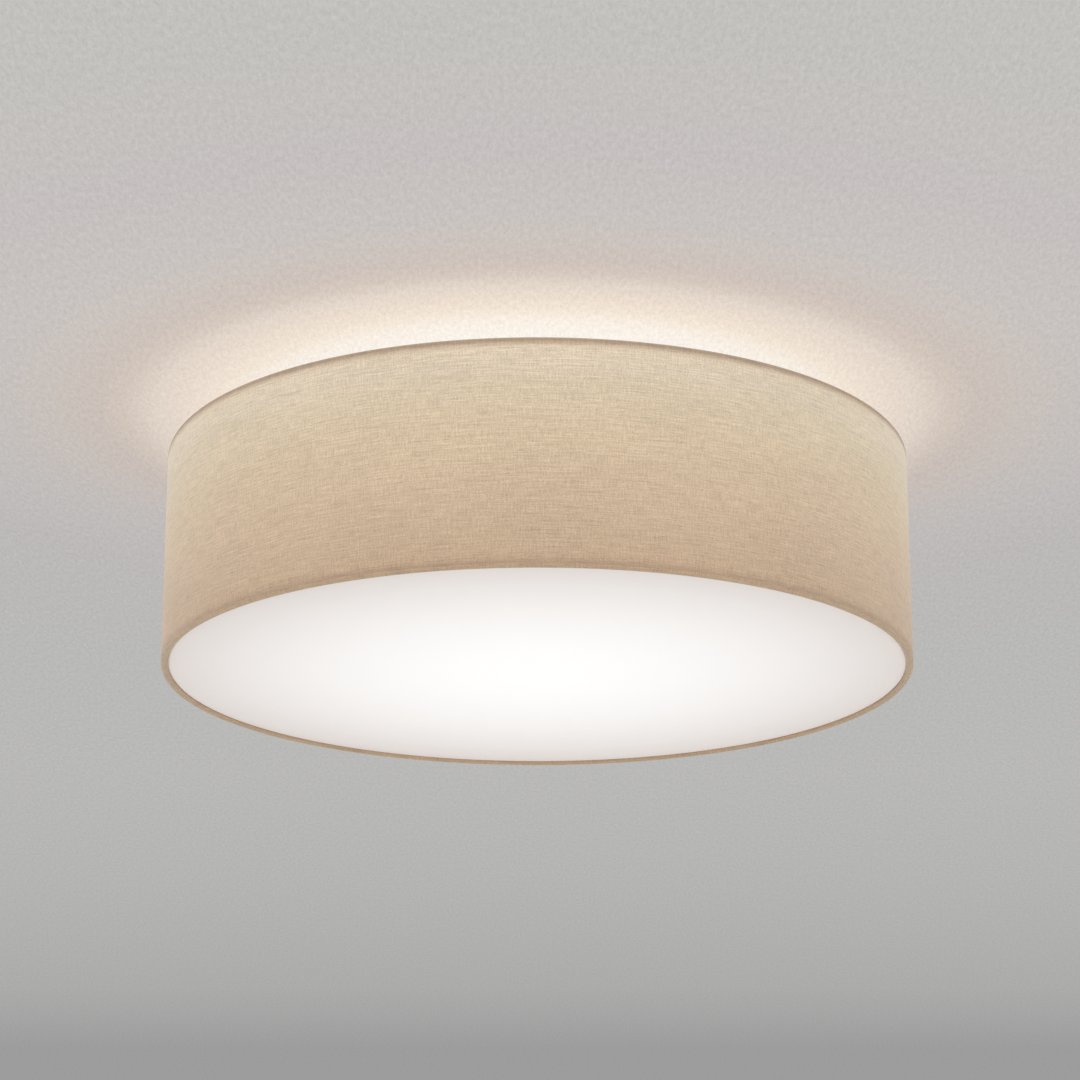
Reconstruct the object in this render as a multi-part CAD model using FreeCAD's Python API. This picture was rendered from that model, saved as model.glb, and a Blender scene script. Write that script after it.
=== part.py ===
import FreeCAD, Part
import math
import os

# Flush mount ceiling light: a drum shade of fabric on a stiff lining, rolled over a wire ring at
# each end, hung 33 mm below the ceiling by three thumbscrews on a three-armed steel bracket.
# Three lampholders stand out like a star under a wiring cup, and an opal disc closes the drum.
# Millimetres. z = 0 is the ceiling plane, +Z points up, and the z axis is the drum's axis.

# Drum shade
shade_d = 500.0  # outside diameter of the fabric
shade_h = 147.0  # bottom rim to top rim
ceiling_gap = 33.0  # ceiling down to the top rim, where the light spills out
fabric_t = 0.5
lining_t = 0.5
ring_wire_d = 2.5
wrap_gap = 0.5  # between a wire and the fabric rolled round it
roll_wrap_deg = 250.0  # how far the fabric is rolled round its wire
seam_w = 10.0  # overlap of the sheet's two ends, at the back of the drum
film = 0.02  # glue, paint or solder between pieces that are fixed together
run_gap = 0.3  # between pieces that move apart

# Opal diffuser, a shallow formed disc that rests on the rolled bottom rim
diffuser_t = 2.0
diffuser_recess = 2.1  # its lower face above the rim's lowest line
diffuser_flange_w = 4.6

# Ceiling bracket
plate_d = 150.0
plate_t = 2.0
arm_w = 18.0
arm_screw_inset = 18.0  # thumbscrew circle, in from the drum's outside
joggle_start_r = 82.0
joggle_run = 40.0
ceiling_screw_pcd = 130.0
ceiling_screw_hole_d = 5.5
arm_count = 3
first_arm_deg = 30.0

# Fixing lugs and thumbscrews
lug_t = 1.5
thumb_thread_d = 4.0
thumb_clear = 0.3  # round the thread, in the lug and in the insert
thumb_head_d = 14.0
thumb_head_h = 8.0
thumb_flutes = 30
thumb_flute_depth = 0.5
thumb_collar_d = 9.0
thumb_collar_h = 1.0
insert_d = 7.5
insert_h = 4.5
notch_side = 1.0  # cut-out in the rolled top rim, beyond the lug's sides

# Cable entry and wiring space
cable_entry_y = -22.0
cable_entry_hole_d = 20.0
grommet_bore_d = 10.0
grommet_lip = 2.0
grommet_lip_t = 1.2
terminal_l = 30.0
terminal_w = 16.0
terminal_h = 13.0
terminal_y = 26.0
terminal_poles = 3
terminal_screw_d = 4.0
terminal_stand = 1.0
earth_x = 30.0
earth_y = 4.0
earth_thread_d = 4.0
earth_head_d = 8.0
earth_head_h = 3.0
earth_washer_d = 10.0
earth_washer_t = 1.0
earth_lead_d = 2.4

# Wiring cup
cup_d = 96.0
cup_depth = 52.0
cup_t = 1.2
cup_corner_r = 4.0
cup_flange_d = 118.0
cup_screw_r = 53.5
cup_screw_d = 4.0
cup_screw_head_d = 7.0
cup_screw_head_h = 2.4
bush_bore_d = 13.0
bush_wall = 1.5
bush_lip = 2.0
bush_lip_t = 1.2
lead_d = 3.2
lead_circle_r = 3.5
lead_start_spread = 8.0

# Lampholders: sizes along the axis are distances from the drum's axis
holder_count = 3
first_holder_deg = 90.0
holder_z = -78.0
holder_seat_r = 46.5  # front of the bracket's upright leg
bracket_t = 1.5
bracket_w = 16.0
bracket_foot_l = 21.5
bracket_below_axis = 12.0
rivet_back = 15.5
rivet_spread = 9.0
rivet_d = 3.2
rivet_head_d = 6.0
rivet_head_h = 1.0
nipple_d = 10.0
nipple_bore_d = 7.0
nipple_back = 7.5
nipple_front = 8.5
nut_af = 14.0
nut_h = 3.0
cap_l = 17.5
cap_rear_d = 34.0
holder_d = 39.0
holder_wall = 1.8
cap_boss_d = 15.0
cap_boss_l = 9.5
insert_block_start = 11.5
insert_block_l = 8.0
contact_l = 2.9
contact_d = 8.0
shell_bore_d = 27.0
shell_t = 0.5
shell_l = 22.0
holder_l = 53.5

# Lamps, E27 with a 60 mm globe: sizes along the axis start at the contact's tip
lamp_tip_gap = 0.1  # a lamp's tip off its contact
lamp_l = 109.0
lamp_tip_d = 8.0
lamp_tip_l = 1.5
lamp_base_d = 20.0
lamp_base_l = 3.5
lamp_cap_d = 26.2
lamp_cap_l = 27.0
lamp_thread_pitch = 3.629
lamp_thread_turns = 4
lamp_thread_depth = 0.8
lamp_cap_t = 0.35
lamp_neck_l = 6.0
lamp_body_collar = 3.0
lamp_body_rear_d = 28.0
lamp_body_top_d = 56.0
lamp_body_t = 1.6
lamp_globe_swell = 4.0  # globe's diameter beyond the body's rim
lamp_globe_t = 1.0
lamp_globe_lap = 3.0

# Worked out from the sizes above
shade_r = shade_d / 2
rim_bottom = -ceiling_gap - shade_h
wire_r = ring_wire_d / 2
roll_r = wire_r + wrap_gap + fabric_t
ring_r = shade_r - roll_r
arm_screw_r = shade_r - arm_screw_inset
bottom_ring_z = rim_bottom + roll_r
top_ring_z = -ceiling_gap - roll_r
lining_r = shade_r - fabric_t - film
arm_top = -ceiling_gap + plate_t
lug_bottom = -ceiling_gap - lug_t
cup_floor_bottom = -plate_t - cup_depth
holder_angles = [first_holder_deg + 360.0 / holder_count * i for i in range(holder_count)]
arm_angles = [first_arm_deg + 360.0 / arm_count * i for i in range(arm_count)]
foot_top = cup_floor_bottom
insert_start = holder_seat_r + insert_block_start
insert_end = insert_start + insert_block_l
lamp_tip_r = insert_end + contact_l + lamp_tip_gap
shell_outer_r = shell_bore_d / 2 + shell_t
globe_r = (lamp_body_top_d + lamp_globe_swell) / 2
globe_centre = lamp_tip_r + lamp_l - globe_r
globe_seat = globe_centre - math.sqrt(globe_r**2 - (lamp_body_top_d / 2) ** 2)


def vec(x, y, z):
    return FreeCAD.Vector(x, y, z)


def tube(r_out, r_in, z_low, z_high, x=0.0, y=0.0):
    """Upright cylinder between two heights, bored through when r_in is over 0."""
    solid = Part.makeCylinder(r_out, z_high - z_low, vec(x, y, z_low))
    if r_in > 0:
        solid = solid.cut(Part.makeCylinder(r_in, z_high - z_low + 2, vec(x, y, z_low - 1)))
    return solid


def box(x0, x1, y0, y1, z0, z1):
    return Part.makeBox(x1 - x0, y1 - y0, z1 - z0, vec(x0, y0, z0))


def turned(shape, degrees):
    """Copy of a shape turned about the drum's axis."""
    copy = shape.copy()
    copy.rotate(vec(0, 0, 0), vec(0, 0, 1), degrees)
    return copy


def spun(edges):
    """Solid of revolution about the drum's axis, from a closed outline in the XZ plane."""
    face = Part.Face(Part.Wire(edges))
    return face.revolve(vec(0, 0, 0), vec(0, 0, 1), 360)


def lines(points):
    """Straight edges through (r, z) points in the XZ plane, closed back to the first."""
    ring = [vec(r, 0, z) for r, z in points]
    return [Part.LineSegment(a, b).toShape() for a, b in zip(ring, ring[1:] + ring[:1])]


def along_axis(shape, degrees):
    """Lays a shape made round +Z on a lampholder's axis: its z becomes the distance outward."""
    copy = shape.copy()
    copy.rotate(vec(0, 0, 0), vec(0, 1, 0), 90)
    copy.translate(vec(0, 0, holder_z))
    return turned(copy, degrees)


def wrapped_tube(points, diameter, share=0.45):
    """Round tube along straight runs joined by tangent arcs as large as the runs allow."""
    spots = [vec(*p) for p in points]
    edges = []
    start = spots[0]
    for i in range(1, len(spots) - 1):
        back = spots[i - 1] - spots[i]
        ahead = spots[i + 1] - spots[i]
        reach = share * min(back.Length, ahead.Length)
        back.normalize()
        ahead.normalize()
        if back.cross(ahead).Length < 1e-6:
            continue
        first = spots[i] + back * reach
        last = spots[i] + ahead * reach
        half = back.getAngle(ahead) / 2
        radius = reach * math.tan(half)
        bisector = back + ahead
        bisector.normalize()
        middle = spots[i] + bisector * (radius / math.sin(half) - radius)
        edges.append(Part.LineSegment(start, first).toShape())
        edges.append(Part.Arc(first, middle, last).toShape())
        start = last
    edges.append(Part.LineSegment(start, spots[-1]).toShape())
    path = Part.Wire(edges)
    heading = spots[1] - spots[0]
    section = Part.Wire(Part.Circle(spots[0], heading, diameter / 2).toShape())
    return path.makePipeShell([section], True, False)


def hexagon(across_flats, height, z_low):
    corner = across_flats / math.sqrt(3)
    ring = []
    for i in range(6):
        angle = math.radians(60 * i)
        ring.append(vec(corner * math.cos(angle), corner * math.sin(angle), z_low))
    face = Part.Face(Part.makePolygon(ring + ring[:1]))
    return face.extrude(vec(0, 0, height))


def screw(thread_d, z_tip, z_seat, head_d, head_h, slot_w, x=0.0, y=0.0):
    """Screw driven upward: shank from z_tip down to z_seat, slotted round head below that."""
    shank = tube(thread_d / 2, 0, z_seat, z_tip)
    head = tube(head_d / 2, 0, z_seat - head_h, z_seat)
    head = head.makeFillet(head_h * 0.35, [head.Edges[i] for i in lowest_edges(head)])
    slot = box(-head_d, head_d, -slot_w / 2, slot_w / 2, z_seat - head_h - 1, z_seat - head_h * 0.6)
    solid = shank.fuse(head).removeSplitter().cut(slot)
    solid.translate(vec(x, y, 0))
    return solid


def lowest_edges(shape):
    """Places in shape.Edges of the full circles at the shape's lowest level."""
    low = shape.BoundBox.ZMin
    return [i for i, e in enumerate(shape.Edges) if abs(e.BoundBox.ZMax - low) < 1e-6]


# Ceiling bracket: a steel disc against the ceiling with three joggled arms


def arm():
    """One arm along +X: flat in the disc, joggled down, flat out to its rounded end."""
    drop = ceiling_gap - plate_t
    joggle_end_r = joggle_start_r + joggle_run
    upper = [(plate_d / 4, 0), (joggle_start_r, 0), (joggle_end_r, -drop), (arm_screw_r, -drop)]
    lower = [(r, z - plate_t) for r, z in reversed(upper)]
    ring = [vec(r, -arm_w / 2, z) for r, z in upper + lower]
    face = Part.Face(Part.makePolygon(ring + ring[:1]))
    strip = face.extrude(vec(0, arm_w, 0))
    end = tube(arm_w / 2, 0, -ceiling_gap, arm_top, arm_screw_r)
    return strip.fuse(end).removeSplitter()


def ceiling_bracket():
    """Disc and arms in one pressing, holed for ceiling screws, cable, cup screws and inserts."""
    plate = tube(plate_d / 2, 0, -plate_t, 0)
    for degrees in arm_angles:
        plate = plate.fuse(turned(arm(), degrees))
    plate = plate.removeSplitter()
    for degrees in arm_angles:
        hole = tube(ceiling_screw_hole_d / 2, 0, -plate_t - 1, 1, ceiling_screw_pcd / 2)
        plate = plate.cut(turned(hole, degrees))
        seat = tube(insert_d / 2, 0, -ceiling_gap - 1, 0, arm_screw_r)
        plate = plate.cut(turned(seat, degrees))
    for degrees in holder_angles:
        hole = tube(cup_screw_d / 2 + film, 0, -plate_t - 1, 1, cup_screw_r)
        plate = plate.cut(turned(hole, degrees))
    plate = plate.cut(tube(cable_entry_hole_d / 2, 0, -plate_t - 1, 1, 0, cable_entry_y))
    plate = plate.cut(tube(earth_thread_d / 2 + film, 0, -plate_t - 1, 1, earth_x, earth_y))
    return plate


def arm_inserts():
    """Round threaded inserts pressed into the arms' ends, flush below and standing up above."""
    bore = thumb_thread_d / 2 + thumb_clear
    top = -ceiling_gap + insert_h
    one = tube(insert_d / 2 - film, bore, -ceiling_gap, top, arm_screw_r)
    return Part.makeCompound([turned(one, degrees) for degrees in arm_angles])


def cable_grommet():
    """Rubber grommet with a lip on each face of the disc; the upper lip sits in the hole."""
    hole_r = cable_entry_hole_d / 2 - film
    body = tube(hole_r, 0, -plate_t, 0)
    lip = tube(hole_r + grommet_lip, 0, -plate_t - grommet_lip_t, -plate_t)
    solid = body.fuse(lip).removeSplitter()
    low = -plate_t - grommet_lip_t
    solid = solid.cut(tube(grommet_bore_d / 2, 0, low - 1, 1))
    solid.translate(vec(0, cable_entry_y, 0))
    return solid


def pole_xs():
    pitch = terminal_l / terminal_poles
    return [pitch * (i - (terminal_poles - 1) / 2) for i in range(terminal_poles)]


def terminal_block():
    """Moulded block under the disc, one bored pole per conductor, with a screw well at each side."""
    low = -plate_t - terminal_stand - terminal_h
    y0 = terminal_y - terminal_w / 2
    y1 = terminal_y + terminal_w / 2
    block = box(-terminal_l / 2, terminal_l / 2, y0, y1, low, -plate_t - terminal_stand)
    foot = box(-terminal_l / 6, terminal_l / 6, y0, y1, -plate_t - terminal_stand, -plate_t)
    block = block.fuse(foot)
    for x in pole_xs():
        for side in (-1, 1):
            y = terminal_y + side * terminal_w / 4
            well_r = terminal_screw_d / 2 + film
            block = block.cut(tube(well_r, 0, low - 1, low + terminal_h * 0.35, x, y))
    return block.removeSplitter()


def terminal_screws():
    """Slotted screws in the block's wells, two to each pole."""
    low = -plate_t - terminal_stand - terminal_h
    top = low + terminal_h * 0.35
    screws = []
    for x in pole_xs():
        for side in (-1, 1):
            y = terminal_y + side * terminal_w / 4
            one = tube(terminal_screw_d / 2, 0, low + 1, top, x, y)
            slot_half = terminal_screw_d / 10
            slot = box(x - slot_half, x + slot_half, y - terminal_w, y + terminal_w, low, low + 1.8)
            screws.append(one.cut(slot))
    return Part.makeCompound(screws)


def earth_screw():
    """Earth screw with its cupped washer, driven up into the disc."""
    seat = -plate_t - earth_lead_d - film - earth_washer_t
    body = screw(earth_thread_d, -film, seat, earth_head_d, earth_head_h, 1.0, earth_x, earth_y)
    washer = tube(earth_washer_d / 2, 0, seat, seat + earth_washer_t, earth_x, earth_y)
    return body.fuse(washer).removeSplitter()


def earth_lead():
    """Short earth lead from the terminal block's end to the washer of the earth screw."""
    z = -plate_t - earth_lead_d / 2 - film / 2
    block_z = -plate_t - terminal_stand - earth_lead_d
    start_y = terminal_y - terminal_w / 4
    washer_y = earth_y + earth_washer_d / 2 + earth_lead_d / 2
    end_y = earth_y + earth_thread_d / 2 + earth_lead_d / 4
    points = [(terminal_l / 2, start_y, block_z), (earth_x, start_y, block_z),
              (earth_x, washer_y, z), (earth_x, end_y, z)]
    return wrapped_tube(points, earth_lead_d)


# Wiring cup: a pressed steel pan over the terminal block, screwed to the disc


def wiring_cup():
    """Pan with a rounded bottom edge, a flange, screw and rivet holes and a hole for the bush."""
    pan = tube(cup_d / 2, 0, cup_floor_bottom, -plate_t)
    pan = pan.makeFillet(cup_corner_r, [pan.Edges[i] for i in lowest_edges(pan)])
    flange = tube(cup_flange_d / 2, 0, -plate_t - cup_t, -plate_t)
    hollow = tube(cup_d / 2 - cup_t, 0, cup_floor_bottom + cup_t, -plate_t + 1)
    inner_corner = cup_corner_r - cup_t
    hollow = hollow.makeFillet(inner_corner, [hollow.Edges[i] for i in lowest_edges(hollow)])
    cup = pan.fuse(flange).removeSplitter().cut(hollow)
    bush_hole_r = bush_bore_d / 2 + bush_wall
    cup = cup.cut(tube(bush_hole_r, 0, cup_floor_bottom - 1, cup_floor_bottom + cup_t + 1))
    screw_hole = tube(cup_screw_d / 2 + film, 0, -plate_t - cup_t - 1, -plate_t + 1, cup_screw_r)
    for degrees in holder_angles:
        cup = cup.cut(turned(screw_hole, degrees))
        for side in (-1, 1):
            y = side * rivet_spread / 2
            hole = tube(rivet_d / 2 + film, 0, foot_top - 1, foot_top + cup_t + 1, rivet_r, y)
            cup = cup.cut(turned(hole, degrees))
    return cup


def cup_screws():
    seat = -plate_t - cup_t
    one = screw(cup_screw_d, -film, seat, cup_screw_head_d, cup_screw_head_h, 1.0, cup_screw_r)
    return Part.makeCompound([turned(one, degrees) for degrees in holder_angles])


def lead_bush():
    """Plastic bush through the cup's floor, with a lip above and below."""
    r = bush_bore_d / 2 + bush_wall - film
    low = cup_floor_bottom
    body = tube(r, 0, low - bush_lip_t, low + cup_t + bush_lip_t)
    for base in (low - bush_lip_t, low + cup_t):
        body = body.fuse(tube(r + bush_lip, 0, base, base + bush_lip_t))
    bore = tube(bush_bore_d / 2, 0, low - bush_lip_t - 1, low + cup_t + bush_lip_t + 1)
    return body.removeSplitter().cut(bore)


# Lampholders, each on an angle bracket under the cup

rivet_r = holder_seat_r - rivet_back


def holder_bracket(degrees):
    """Steel angle: a foot riveted under the cup and an upright leg holed for the hollow nipple."""
    heel = holder_seat_r - bracket_t
    foot = box(holder_seat_r - bracket_foot_l, holder_seat_r, -bracket_w / 2, bracket_w / 2,
               foot_top - bracket_t, foot_top)
    leg_end = holder_z - bracket_below_axis
    leg = box(heel, holder_seat_r, -bracket_w / 2, bracket_w / 2, leg_end, foot_top)
    angle = foot.fuse(leg).removeSplitter()
    for side in (-1, 1):
        y = side * rivet_spread / 2
        hole = tube(rivet_d / 2 + film, 0, foot_top - bracket_t - 1, foot_top + 1, rivet_r, y)
        angle = angle.cut(hole)
    hole = Part.makeCylinder(nipple_d / 2 + film, bracket_t + 2, vec(heel - 1, 0, holder_z), vec(1, 0, 0))
    return turned(angle.cut(hole), degrees)


def bracket_rivets():
    """Rivets, headed below the bracket's foot and above the cup's floor."""
    low = foot_top - bracket_t
    high = foot_top + cup_t
    rivets = []
    for degrees in holder_angles:
        for side in (-1, 1):
            y = side * rivet_spread / 2
            one = tube(rivet_d / 2, 0, low - rivet_head_h, high + rivet_head_h, rivet_r, y)
            for base in (low - rivet_head_h, high):
                one = one.fuse(tube(rivet_head_d / 2, 0, base, base + rivet_head_h, rivet_r, y))
            rivets.append(turned(one.removeSplitter(), degrees))
    return Part.makeCompound(rivets)


def holder_nipples():
    """Hollow threaded nipples that join each bracket to its lampholder and pass the lead."""
    start = holder_seat_r - nipple_back
    end = holder_seat_r + nipple_front
    one = tube(nipple_d / 2, nipple_bore_d / 2, start, end)
    return Part.makeCompound([along_axis(one, degrees) for degrees in holder_angles])


def nipple_nuts():
    start = holder_seat_r - bracket_t - nut_h
    one = hexagon(nut_af, nut_h, start)
    one = one.cut(tube(nipple_d / 2 + film, 0, start - 1, start + nut_h + 1))
    return Part.makeCompound([along_axis(one, degrees) for degrees in holder_angles])


def holder_cap(degrees):
    """Lampholder's rear cap: a hollow cone with a threaded boss for the nipple inside it."""
    end = holder_seat_r + cap_l
    rear = cap_rear_d / 2
    front = holder_d / 2
    outer = lines([(0, holder_seat_r), (rear - 2, holder_seat_r), (rear, holder_seat_r + 2),
                   (front, end), (0, end)])
    floor = holder_seat_r + holder_wall
    hollow = lines([(0, floor), (rear - 2 - holder_wall, floor), (rear - holder_wall, floor + 2),
                    (front - holder_wall, end), (front - holder_wall, end + 1), (0, end + 1)])
    cap = spun(outer).cut(spun(hollow))
    cap = cap.fuse(tube(cap_boss_d / 2, 0, holder_seat_r, holder_seat_r + cap_boss_l))
    bore_end = holder_seat_r + cap_boss_l + 1
    cap = cap.removeSplitter().cut(tube(nipple_d / 2 + film, 0, holder_seat_r - 1, bore_end))
    return along_axis(cap, degrees)


def holder_insert(degrees):
    """Insulating block inside the lampholder that carries the contact and the threaded shell."""
    block_r = holder_d / 2 - holder_wall - run_gap
    rear_r = cap_rear_d / 2 - holder_wall
    outline = lines([(0, insert_start), (rear_r, insert_start),
                     (block_r, holder_seat_r + cap_l), (block_r, insert_end), (0, insert_end)])
    return along_axis(spun(outline), degrees)


def holder_shell(degrees):
    """Brass shell for the lamp's thread, standing on the insulating block."""
    shell = tube(shell_outer_r, shell_bore_d / 2, insert_end, insert_end + shell_l)
    return along_axis(shell, degrees)


def holder_contact(degrees):
    """Brass centre contact between the insulating block and the lamp's tip."""
    contact = tube(contact_d / 2, 0, insert_end, insert_end + contact_l)
    return along_axis(contact, degrees)


def holder_body(degrees):
    """Lampholder's outer skirt, ribbed for the hand, round the shell."""
    start = holder_seat_r + cap_l
    end = holder_seat_r + holder_l
    skirt = tube(holder_d / 2, holder_d / 2 - holder_wall, start, end)
    for share in (0.25, 0.4, 0.55, 0.7):
        z = start + (end - start) * share
        skirt = skirt.cut(tube(holder_d / 2 + 1, holder_d / 2 - 0.6, z, z + 1.5))
    return along_axis(skirt, degrees)


def holder_lead(degrees, start_x):
    """Two-core lead from the terminal block, down through the bush, into the nipple."""
    block_face = terminal_y - terminal_w / 2
    entry_z = -plate_t - terminal_stand - terminal_h / 2
    angle = math.radians(degrees)
    x = lead_circle_r * math.cos(angle)
    y = lead_circle_r * math.sin(angle)
    out_x = insert_start * math.cos(angle)
    out_y = insert_start * math.sin(angle)
    points = [(start_x, block_face, entry_z), (start_x, block_face - lead_d, entry_z),
              (x, y, entry_z), (x, y, holder_z), (out_x, out_y, holder_z)]
    return wrapped_tube(points, lead_d)


# Lamps


def lamp_tip():
    """Solder contact on the black glass button at the end of the cap."""
    tip_end = lamp_tip_r + lamp_tip_l
    outline = lines([(0, lamp_tip_r), (lamp_tip_d / 2 - 1, lamp_tip_r), (lamp_tip_d / 2, tip_end),
                     (lamp_base_d / 2, tip_end + lamp_base_l), (0, tip_end + lamp_base_l)])
    return spun(outline)


def lamp_cap():
    """Screw cap as a thin shell with rounded thread crests, and a plain skirt."""
    start = lamp_tip_r + lamp_tip_l + lamp_base_l
    end = lamp_tip_r + lamp_cap_l
    crest = lamp_cap_d / 2
    root = crest - lamp_thread_depth
    wall = crest - lamp_thread_depth - lamp_cap_t
    edges = []
    spot = vec(root, 0, start)
    for i in range(lamp_thread_turns):
        top = vec(crest, 0, start + lamp_thread_pitch * (i + 0.5))
        ahead = vec(root, 0, start + lamp_thread_pitch * (i + 1))
        edges.append(Part.Arc(spot, top, ahead).toShape())
        spot = ahead
    corners = [spot, vec(root, 0, end), vec(wall, 0, end), vec(wall, 0, start), vec(root, 0, start)]
    for a, b in zip(corners, corners[1:]):
        edges.append(Part.LineSegment(a, b).toShape())
    return spun(edges)


def lamp_body():
    """Lamp's hollow plastic body: a neck inside the cap, then a cone out to the globe."""
    cap_end = lamp_tip_r + lamp_cap_l
    top = globe_seat
    neck = lamp_cap_d / 2 - lamp_thread_depth - lamp_cap_t - film
    wide = lamp_body_top_d / 2
    rear = lamp_body_rear_d / 2
    waist = cap_end + lamp_body_collar
    rim = top - lamp_globe_lap - lamp_body_t
    outline = [(0, cap_end - lamp_neck_l), (neck, cap_end - lamp_neck_l), (neck, cap_end),
               (rear, cap_end), (rear, waist), (wide, rim), (wide, top),
               (wide - lamp_body_t, top), (wide - lamp_body_t, rim), (rear - lamp_body_t, waist),
               (0, waist)]
    return spun(lines(outline))


def ball_arc(radius, z_low):
    """Arc of a ball's outline, from the level z_low over the widest line to the far pole."""
    spread = math.acos((z_low - globe_centre) / radius)
    spots = []
    for angle in (spread, spread / 2, 0.0):
        spots.append(vec(radius * math.sin(angle), 0, globe_centre + radius * math.cos(angle)))
    return spots


def lamp_globe():
    """Opal globe: a hollow ball's cap, seated on the body's rim by a collar inside it."""
    wide = lamp_body_top_d / 2
    mouth = wide - lamp_body_t - film
    inner_mouth = mouth - lamp_globe_t
    low = globe_seat - lamp_globe_lap
    outer = ball_arc(globe_r, globe_seat)
    inner = ball_arc(globe_r - lamp_globe_t, globe_seat + lamp_globe_t)
    shoulder = globe_seat + lamp_globe_t
    edges = [Part.Arc(*outer).toShape(), Part.Arc(*reversed(inner)).toShape()]
    corners = [inner[0], vec(inner_mouth, 0, shoulder), vec(inner_mouth, 0, low), vec(mouth, 0, low),
               vec(mouth, 0, globe_seat), outer[0]]
    for start, stop in zip(corners, corners[1:]):
        edges.append(Part.LineSegment(start, stop).toShape())
    edges.append(Part.LineSegment(outer[2], inner[2]).toShape())
    return spun(Part.sortEdges(edges)[0])


# Drum shade


def roll(centre_z, way, radius):
    """Arc of the rolled fabric round a wire, from the wall over the rim (way +1 up, -1 down)."""
    spots = []
    for share in (0, 0.5, 1):
        angle = math.radians(way * roll_wrap_deg * share)
        spots.append(vec(ring_r + radius * math.cos(angle), 0, centre_z + radius * math.sin(angle)))
    return spots


def shade_fabric():
    """One sheet: the drum's wall, rolled round the wire at both rims, lapped at the back."""
    inner = roll_r - fabric_t
    edges = []
    ends = []
    for z, way in ((top_ring_z, 1), (bottom_ring_z, -1)):
        out = roll(z, way, roll_r)
        back = roll(z, way, inner)
        edges.append(Part.Arc(*out).toShape())
        edges.append(Part.LineSegment(out[2], back[2]).toShape())
        edges.append(Part.Arc(*reversed(back)).toShape())
        ends.append((out[0], back[0]))
    edges.append(Part.LineSegment(ends[0][0], ends[1][0]).toShape())
    edges.append(Part.LineSegment(ends[0][1], ends[1][1]).toShape())
    drum = spun(Part.sortEdges(edges)[0])
    lap = tube(shade_r + fabric_t, shade_r - fabric_t / 2, bottom_ring_z, top_ring_z)
    drum = drum.fuse(lap.common(box(-seam_w / 2, seam_w / 2, 0, shade_d, rim_bottom, 0)))
    half = arm_w / 2 + notch_side
    notch = box(ring_r - roll_r - 1, ring_r + run_gap, -half, half, lug_bottom - run_gap, 0)
    for degrees in arm_angles:
        drum = drum.cut(turned(notch, degrees))
    return drum


def shade_lining():
    """Stiff translucent liner glued inside the fabric, from one roll to the other."""
    low = bottom_ring_z + roll_r + film
    high = top_ring_z - roll_r - film
    return tube(lining_r, lining_r - lining_t, low, high)


def wire_ring(z):
    return Part.makeTorus(ring_r, wire_r, vec(0, 0, z))


def fixing_lugs():
    """Steel tabs welded to the top ring's inside, each holed for its thumbscrew."""
    end = ring_r - wire_r * 0.6
    strip = box(arm_screw_r, end, -arm_w / 2, arm_w / 2, lug_bottom, -ceiling_gap)
    lug = strip.fuse(tube(arm_w / 2, 0, lug_bottom, -ceiling_gap, arm_screw_r)).removeSplitter()
    hole = tube(thumb_thread_d / 2 + thumb_clear, 0, lug_bottom - 1, 0, arm_screw_r)
    lug = lug.cut(hole).cut(Part.makeTorus(ring_r, wire_r + film, vec(0, 0, top_ring_z)))
    return Part.makeCompound([turned(lug, degrees) for degrees in arm_angles])


def thumbscrew(degrees):
    """Knurled thumbscrew under a lug: its thread goes up through the lug and the insert."""
    top = -ceiling_gap + insert_h
    shank = tube(thumb_thread_d / 2, 0, lug_bottom - thumb_collar_h, top)
    collar = tube(thumb_collar_d / 2, 0, lug_bottom - thumb_collar_h, lug_bottom)
    low = lug_bottom - thumb_collar_h - thumb_head_h
    ring = []
    for i in range(2 * thumb_flutes):
        r = thumb_head_d / 2 - thumb_flute_depth * (i % 2)
        angle = math.pi * i / thumb_flutes
        ring.append(vec(r * math.cos(angle), r * math.sin(angle), low))
    head = Part.Face(Part.makePolygon(ring + ring[:1])).extrude(vec(0, 0, thumb_head_h))
    solid = shank.fuse(collar).fuse(head).removeSplitter()
    solid.translate(vec(arm_screw_r, 0, 0))
    return turned(solid, degrees)


def diffuser():
    """Opal disc: a flat face set up from the rim, a short wall, and a flange over the roll."""
    face_low = rim_bottom + diffuser_recess
    face_high = face_low + diffuser_t
    wall_r = ring_r - roll_r - run_gap
    flange_low = bottom_ring_z + roll_r + run_gap
    flange_high = flange_low + diffuser_t
    inner_r = wall_r - diffuser_t
    outline = [(0, face_low), (wall_r, face_low), (wall_r, flange_low),
               (inner_r + diffuser_flange_w, flange_low), (inner_r + diffuser_flange_w, flange_high),
               (inner_r, flange_high), (inner_r, face_high), (0, face_high)]
    return spun(lines(outline))


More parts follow.
